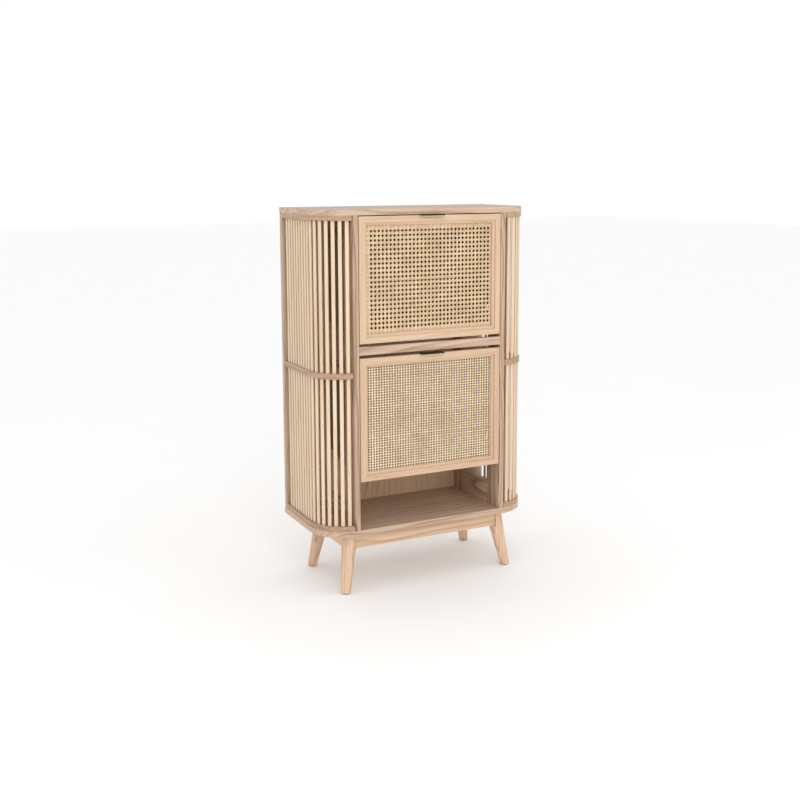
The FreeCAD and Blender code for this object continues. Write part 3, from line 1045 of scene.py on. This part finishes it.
@dataclass
class OpenCane(CanePanel):
    """Open cane: pairs of upright and crosswise strands, and diagonals between crossings."""

    rim_left: float = 6.6 * MM
    rim_right: float = 13.8 * MM
    columns: int = 33
    rows: int = 24
    strand: float = 1.95 * MM
    pair_gap: float = 2.5 * MM
    thickness: float = 0.42 * MM
    lift: float = 0.5 * MM
    crossing_lift: float = 0.06 * MM
    diagonal_width: float = 2.145 * MM
    diagonal_level: float = 0.75 * MM
    diagonal_lift: float = 0.15 * MM
    shortest: float = 0.4
    steps_per_cell: int = 4
    diagonal_steps: int = 3
    lip: tuple[float, float, float, float] = (19.3 * MM, 14.3 * MM, 22 * MM, 19 * MM)
    lip_depth: tuple[float, float] = (0.5 * MM, 1.1 * MM)
    lip_ease: float = 0.1 * MM
    lip_tones: tuple[float, ...] = (0.3, 0.4, 0.5, 0.6)

    def straight(self, palette: Palette, upright: bool) -> None:
        """Lay all the upright or all the crosswise pairs.

        Args:
            palette: Shared groups and finished materials.
            upright: Whether the pairs stand upright.
        """
        low, high = self.corners()
        first, last = self.ends()
        lead = low.z - first.z if upright else low.x - first.x
        loom = Loom(self.strand, self.thickness, random.Random(SEED + upright))
        lift = self.lift if upright else self.crossing_lift
        cells, others = (self.columns, self.rows) if upright else (self.rows, self.columns)
        span = high - low
        pitch = (span.x if upright else span.z) / cells
        period = (span.z if upright else span.x) / others
        for index in range(cells + 1):
            for half in (-1, 1):
                across = index * pitch + half * self.pair_gap / 2
                if upright:
                    start = Vector((low.x + across, low.y, first.z))
                    end = Vector((low.x + across, low.y, last.z))
                else:
                    start = Vector((first.x, low.y, low.z + across))
                    end = Vector((last.x, low.y, low.z + across))

                def rise(run: float, way: float = half * lift) -> float:
                    """Over or under at each crossing."""
                    return way * (0.5 + 0.5 * math.cos(2 * math.pi * (run - lead) / period))
                loom.lay(start, end, others * self.steps_per_cell, rise)
        kind = "uprights" if upright else "crossings"
        web = loom.finish(f"{self.level}_cane_{kind}")
        nodes = (self.level + "_cane",) if upright else ()
        dress(web, OPEN_CANE.material(palette), "cane_open", self.level + "_bin", *nodes)

    def diagonals(self, palette: Palette, way: int) -> None:
        """Lay one family of diagonals, half a cell off the crossings.

        Args:
            palette: Shared groups and finished materials.
            way: 1 for strands that rise to the right, -1 for those that fall.
        """
        low, high = self.corners()
        dice = random.Random(SEED + DIAGONAL_SEED + way)
        loom = Loom(self.diagonal_width, self.thickness, dice)
        wide, tall = (high.x - low.x) / self.columns, (high.z - low.z) / self.rows
        for index in range(-self.rows, self.columns):
            offset = index + 0.5
            first = max(offset, 0.0)
            last = min(offset + self.rows, self.columns)
            if last - first < self.shortest:
                continue
            row_first, row_last = first - offset, last - offset
            if way < 0:
                row_first, row_last = self.rows - row_first, self.rows - row_last
            start = Vector((low.x + first * wide, low.y, low.z + row_first * tall))
            end = Vector((low.x + last * wide, low.y, low.z + row_last * tall))
            period = (end - start).length / (last - first)
            phase = first % 1.0

            def rise(run: float, period: float = period, phase: float = phase) -> float:
                """Over one family of pairs and under the other."""
                wave = math.cos(4 * math.pi * (run / period + phase))
                return way * (self.diagonal_level + self.diagonal_lift * wave)
            steps = max(2, round((last - first) * self.diagonal_steps))
            loom.lay(start, end, steps, rise)
        web = loom.finish(f"{self.level}_cane_diagonals_{'up' if way > 0 else 'down'}")
        dress(web, OPEN_CANE.material(palette), "cane_open", self.level + "_bin")

    def backing(self, palette: Palette) -> None:
        """Thin wooden lip behind the edge of the weave, which closes its outer cells.

        Args:
            palette: Shared groups and finished materials.
        """
        outer_low, outer_high = self.ends()
        low, high = self.inside(*self.lip)
        front, back = (low.y + depth for depth in self.lip_depth)
        spans = (
            (outer_low.x, outer_low.z, low.x, outer_high.z),
            (high.x, outer_low.z, outer_high.x, outer_high.z),
            (low.x, outer_low.z, high.x, low.z),
            (low.x, high.z, high.x, outer_high.z),
        )
        bars = []
        for tone, (left, bottom, right, top) in zip(self.lip_tones, spans):
            corners = Vector((left, front, bottom)), Vector((right, back, top))
            bar = eased_block("lip", *corners, self.lip_ease)
            set_tone(bar, tone)
            bars.append(bar)
        ring = join(self.level + "_cane_backing", bars)
        dress(ring, DOOR_WOOD.material(palette, Grain.ALONG_Z), "door_wood", self.level + "_bin")

    def build(self, palette: Palette) -> None:
        """Weave the whole panel.

        Args:
            palette: Shared groups and finished materials.
        """
        self.straight(palette, True)
        self.straight(palette, False)
        self.diagonals(palette, 1)
        self.diagonals(palette, -1)
        self.backing(palette)


@dataclass
class CloseCane(CanePanel):
    """Close cane: pairs of uprights with pairs of weft over one and under the next.

    upright_apart and weft_apart are half the distance between the strands of a pair, in
    widths of a strand. flatness is how soon a weft strand levels off over a pair.
    """

    columns: int = 48
    rows: int = 42
    upright: float = 1.85 * MM
    weft: float = 1.6 * MM
    thickness: float = 0.4 * MM
    lift: float = 0.75 * MM
    upright_apart: float = 0.53
    weft_apart: float = 0.54
    flatness: float = 1.6
    upright_steps: int = 60
    steps_per_cell: int = 4

    def build(self, palette: Palette) -> None:
        """Weave the whole panel.

        Args:
            palette: Shared groups and finished materials.
        """
        low, high = self.corners()
        first, last = self.ends()
        lead = low.x - first.x
        pitch = (high.x - low.x) / self.columns
        loom = Loom(self.upright, self.thickness, random.Random(SEED + UPRIGHT_SEED))
        for index in range(self.columns + 1):
            for half in (-1, 1):
                x = low.x + index * pitch + half * self.upright * self.upright_apart
                start = Vector((x, low.y, first.z))
                end = Vector((x, low.y, last.z))
                loom.lay(start, end, self.upright_steps, lambda run: 0.0)
        web = loom.finish(self.level + "_cane_uprights")
        material = CLOSE_CANE.material(palette)
        dress(web, material, "cane_close", self.level + "_bin", self.level + "_cane")
        loom = Loom(self.weft, self.thickness, random.Random(SEED + WEFT_SEED))
        row_height = (high.z - low.z) / self.rows
        for row in range(self.rows):
            for half in (-1, 1):
                z = low.z + (row + 0.5) * row_height + half * self.weft * self.weft_apart
                start = Vector((first.x, low.y, z))
                end = Vector((last.x, low.y, z))

                def rise(run: float, parity: int = 1 if row % 2 else -1) -> float:
                    """Over one pair of uprights, then under the next."""
                    turn = math.cos(math.pi * (run - lead) / pitch)
                    return parity * self.lift * max(-1.0, min(1.0, self.flatness * turn))
                loom.lay(start, end, self.columns * self.steps_per_cell, rise)
        web = loom.finish(self.level + "_cane_weft")
        dress(web, material, "cane_close", self.level + "_bin")


# ---- Tilting bins -------------------------------------------------------------------
@dataclass
class TiltBin:
    """One tilting bin: mitred door frame, cane, pull, plates and trays."""

    level: str
    panel: CanePanel
    tone: float
    # Width and ramp of the painted groove shadow, with the glue line, along the bead's outer
    # edge.
    groove_shadow: float = 1.2 * MM
    groove_shadow_stops: Stops = ((0.5, 0.6), (1.0, 0.0))
    pull_thickness: float = 1.2 * MM
    pull_round: float = 0.5 * MM
    pull_segments: int = 3
    # Share of the pull's height, from the bottom, whose front faces take the painted reflection.
    polished_share: float = 0.5

    def node(self, name: str) -> str:
        """Full name of one of this bin's CAD nodes."""
        return f"{self.level}_{name}"

    def paint_frame(self, palette: Palette) -> None:
        """Finish the four mitred members and the bead.

        Args:
            palette: Shared groups and finished materials.
        """
        members = {
            "stile_left": (Grain.ALONG_Z, 0.0), "stile_right": (Grain.ALONG_Z, 0.12),
            "rail_top": (Grain.ALONG_X, 0.2), "rail_bottom": (Grain.ALONG_X, 0.07),
        }
        for name, (grain, step) in members.items():
            wood = DOOR_WOOD.material(palette, grain, self.tone + step)
            paint_node(self.node(name), wood)
        paint_node(self.node("bead"), self.bead_material(palette))

    def bead_material(self, palette: Palette) -> bpy.types.Material:
        """Door wood that turns its grain at the bead's mitres.

        Args:
            palette: Shared groups and finished materials.

        Returns:
            The material, with a dark line where the bead meets the door frame: a painted groove
            shadow together with the glue line.
        """
        low, high = node_corners(self.node("bead"))
        half = (high - low) / 2
        graph, upright, shader = palette.start(self.node("bead_wood"), palette.wood)
        place = object_place(graph)
        x, _, z = graph.split(place)
        side = graph.math("ABSOLUTE", x)
        height = graph.math("ABSOLUTE", graph.math("SUBTRACT", z, (low.z + high.z) / 2))
        past = graph.math("SUBTRACT", side, height)
        is_upright = graph.math("GREATER_THAN", past, half.x - half.z)
        level = graph.add("ShaderNodeGroup", node_tree=palette.wood)
        DOOR_WOOD.fill(graph, upright, place, self.tone)
        DOOR_WOOD.fill(graph, level, turned_place(graph, Grain.ALONG_X), self.tone)
        colour = graph.mix(is_upright, level.outputs["Colour"], upright.outputs["Colour"])
        from_side = graph.math("SUBTRACT", half.x, side)
        from_end = graph.math("SUBTRACT", half.z, height)
        nearest = graph.math("MINIMUM", from_side, from_end)
        # Painted shadow: darkens the bead near its outer edge for the shade in the groove,
        # together with the glue line.
        groove_shadow = graph.ramp(graph.math("MULTIPLY", nearest, 1 / self.groove_shadow), self.groove_shadow_stops)
        graph.feed(shader.inputs["Base Color"], graph.mix(groove_shadow, colour, DOOR_WOOD.pore))
        palette.bump(graph, upright, shader, BEAD_RELIEF)
        return palette.made[self.node("bead_wood")]

    def build_pull(self, palette: Palette) -> None:
        """Folded strip: a flange on the door's edge, turned down in front.

        Args:
            palette: Shared groups and finished materials.
        """
        low, high = node_corners(self.node("pull"))
        flange_low = Vector((low.x, low.y, high.z - self.pull_thickness))
        piece = block(self.node("pull_strip"), flange_low, high)
        bpy.ops.object.mode_set(mode="EDIT")
        bpy.ops.mesh.select_all(action="SELECT")
        fold = low.y + self.pull_thickness
        bpy.ops.mesh.bisect(plane_co=(0, fold, 0), plane_no=(0, 1, 0))
        bpy.ops.mesh.select_all(action="DESELECT")
        bpy.ops.mesh.select_mode(type="FACE")
        shape = bmesh.from_edit_mesh(piece.data)
        for face in shape.faces:
            in_front = face.calc_center_median().y < fold
            face.select_set(in_front and face.normal.z < FACING_DOWN)
        bmesh.update_edit_mesh(piece.data)
        drop = flange_low.z - low.z
        bpy.ops.mesh.extrude_region_move(TRANSFORM_OT_translate={"value": (0, 0, -drop)})
        reflection_top = low.z + (high.z - low.z) * self.polished_share
        bpy.ops.mesh.select_all(action="SELECT")
        bpy.ops.mesh.bisect(plane_co=(0, 0, reflection_top), plane_no=(0, 0, 1))
        bpy.ops.object.mode_set(mode="OBJECT")
        apply_modifier(piece, "BEVEL", width=self.pull_round, segments=self.pull_segments,
                       limit_method="ANGLE")
        bpy.ops.object.shade_smooth_by_angle(angle=SMOOTH_ANGLE)
        # Painted reflection: front faces on the lip's lower part are marked for the light colour.
        polish = [float(face.normal.y < FACING_FRONT and face.center.z < reflection_top)
                  for face in piece.data.polygons]
        set_attribute(piece.data, "polish", polish, "FACE")
        pull_metal = PULL_METAL.material(palette)
        dress(piece, pull_metal, "pull_bronze", self.level + "_bin", self.node("pull"))

    def build(self, palette: Palette) -> None:
        """Finish or model every piece of the bin.

        Args:
            palette: Shared groups and finished materials.
        """
        self.paint_frame(palette)
        self.panel.build(palette)
        self.build_pull(palette)
        for side in ("left", "right"):
            paint_node(self.node("side_plate_" + side), PLATE_PLASTIC_SHADED.material(palette))
        for tray in ("tray_low", "tray_high"):
            paint_node(self.node(tray), TRAY_PLASTIC_SHADED.material(palette))
        paint_node(self.node("screws"), ZINC.material(palette))


# ---- Carcass and base ---------------------------------------------------------------
@dataclass
class Carcass:
    """Boards, posts, rails and panels."""

    ease: float = 1.2 * MM
    top_tone: float = 0.3
    bottom_tone: float = 0.35
    dice: random.Random = field(default_factory=lambda: random.Random(SEED + CARCASS_SEED))

    def bar(self, node: str, finish: WoodFinish, slot: str, grain: Grain,
            palette: Palette) -> None:
        """Model a square-edged bar and dress it.

        Args:
            node: Name of the CAD node, which is a plain block.
            finish: Its wood.
            slot: The record's material slot.
            grain: Direction of its fibres.
            palette: Shared groups and finished materials.
        """
        piece = eased_bar(node, self.ease, self.dice.random())
        dress(piece, finish.material(palette, grain), slot, "carcass", node)

    def build(self, palette: Palette) -> None:
        """Finish the boards and model the bars.

        Args:
            palette: Shared groups and finished materials.
        """
        paint_node("top_board", TOP_WOOD.material(palette, Grain.ALONG_X, self.top_tone))
        paint_node("bottom_board", BOARD_WOOD.material(palette, Grain.ALONG_X, self.bottom_tone))
        for side in ("left", "right"):
            for post in ("front_post_", "rear_post_"):
                self.bar(post + side, POST_WOOD, "post_ash", Grain.ALONG_Z, palette)
            self.bar("side_rail_" + side, POST_WOOD, "post_ash", Grain.ALONG_Y, palette)
            self.bar("back_board_" + side, BACK_WOOD, "rail_ash", Grain.ALONG_Z, palette)
            for level, tone in (("top", 0.2), ("mid", 0.4), ("bottom", 0.6)):
                wood = RAIL_WOOD.material(palette, Grain.ALONG_Y, tone)
                paint_node(f"slat_rail_{level}_{side}", wood)
        self.bar("front_mid_rail", BOARD_WOOD, "board_ash", Grain.ALONG_X, palette)
        self.bar("back_panel", PANEL_WOOD, "back_veneer", Grain.ALONG_Z, palette)
        paint_node("pivot_brackets", ZINC.material(palette))


@dataclass
class Base:
    """Splayed legs, aprons and what joins them."""

    ease: float = 1.5 * MM
    dice: random.Random = field(default_factory=lambda: random.Random(SEED + BASE_SEED))

    def build(self, palette: Palette) -> None:
        """Finish the legs and hardware, and model the aprons with eased edges.

        Args:
            palette: Shared groups and finished materials.
        """
        aprons = {
            "front_apron": Grain.ALONG_X, "rear_apron": Grain.ALONG_X,
            "side_apron_left": Grain.ALONG_Y, "side_apron_right": Grain.ALONG_Y,
        }
        for node, grain in aprons.items():
            piece = eased_bar(node, self.ease, self.dice.random())
            dress(piece, LEG_WOOD.material(palette, grain), "leg_wood", "carcass", node)
        legs = {
            "front_leg_left": 0.3, "front_leg_right": 0.4,
            "rear_leg_left": 0.6, "rear_leg_right": 0.5,
        }
        for node, tone in legs.items():
            paint_node(node, LEG_WOOD.material(palette, Grain.ALONG_Z, tone))
        paint_node("corner_braces", LEG_WOOD.material(palette, Grain.ALONG_X, 0.5))
        paint_node("leg_bolts", ZINC.material(palette))
        paint_node("foot_glides", GLIDE.material(palette))


# ---- Studio -------------------------------------------------------------------------
@dataclass
class Studio:
    """Pale floor, soft lights and the camera, in metres, degrees and millimetres of lens."""

    camera_place: Point = (-1.5942, -3.1803, 1.2996)
    camera_turn: Point = (26.707, -8.309, 0.161)
    sensor: float = 36.0
    focal: float = 49.455
    shift: tuple[float, float] = (-0.0125, -0.08)
    aim: Point = (0, 0, 0.6)
    floor_size: float = 40.0
    floor_middle: Point = (0, 6, 0)
    floor_light: Colour = (0.97, 0.97, 0.97, 1)
    floor_dark: Colour = (0.95, 0.95, 0.95, 1)
    floor_roughness: float = 0.8
    dust_scale: float = 3.0

    def floor(self) -> None:
        """Wide pale floor that isn't part of the object."""
        deselect()
        bpy.ops.mesh.primitive_plane_add(size=self.floor_size, location=self.floor_middle)
        ground = bpy.context.object
        ground.name = "studio_floor"
        place_into_mesh()
        material = bpy.data.materials.new("pale_floor")
        material.use_nodes = True
        graph = Graph(material.node_tree)
        shader = material.node_tree.nodes["Principled BSDF"]
        dust = graph.noise(object_place(graph), self.dust_scale)
        colour = graph.mix(dust, self.floor_light, self.floor_dark)
        graph.feed(shader.inputs["Base Color"], colour)
        shader.inputs["Roughness"].default_value = self.floor_roughness
        ground.data.materials.append(material)

    def light(self, name: str, place: Point, size: float, power: float) -> None:
        """Soft square light that faces the cabinet's middle.

        Args:
            name: The light's name.
            place: Where it hangs.
            size: Length of its side.
            power: Its power in watts.
        """
        data = bpy.data.lights.new(name, "AREA")
        data.shape = "SQUARE"
        data.size = size
        data.energy = power
        lamp = bpy.data.objects.new(name, data)
        bpy.context.collection.objects.link(lamp)
        lamp.location = place
        aim = Vector(self.aim) - Vector(place)
        lamp.rotation_euler = aim.to_track_quat("-Z", "Y").to_euler()

    def camera(self) -> None:
        """Camera at the cabinet's left front, a little above its top."""
        data = bpy.data.cameras.new("camera")
        data.sensor_width = self.sensor
        data.lens = self.focal
        data.shift_x, data.shift_y = self.shift
        camera = bpy.data.objects.new("camera", data)
        bpy.context.collection.objects.link(camera)
        yaw, pitch, roll = (math.radians(value) for value in self.camera_turn)
        level = math.cos(pitch)
        forward = Vector((math.sin(yaw) * level, math.cos(yaw) * level, math.sin(pitch)))
        camera.location = self.camera_place
        camera.rotation_euler = forward.to_track_quat("-Z", "Y").to_euler()
        camera.rotation_euler.rotate_axis("Z", -roll)
        bpy.context.scene.camera = camera

    def build(self) -> None:
        """Set up the floor, world, lights and camera."""
        self.camera()
        self.floor()
        world = bpy.data.worlds.new("studio")
        world.use_nodes = True
        background = world.node_tree.nodes["Background"]
        background.inputs["Color"].default_value = (1.0, 1.0, 1.0, 1.0)
        background.inputs["Strength"].default_value = 1.0
        scene = bpy.context.scene
        scene.world = world
        scene.view_settings.view_transform = "Standard"
        self.light("key", place=(-1.2, -3.6, 2.4), size=2.0, power=30.0)
        self.light("fill", place=(2.8, -2.6, 1.6), size=2.4, power=6.0)


def main() -> None:
    """Build every sub-assembly."""
    logging.basicConfig(level=logging.INFO, format="%(message)s")
    palette = Palette()
    Studio().build()
    Carcass().build(palette)
    SlatRows().build(palette)
    Base().build(palette)
    TiltBin("upper", OpenCane("upper"), tone=0.2).build(palette)
    TiltBin("lower", CloseCane("lower"), tone=0.55).build(palette)


if __name__ == "__main__":
    main()
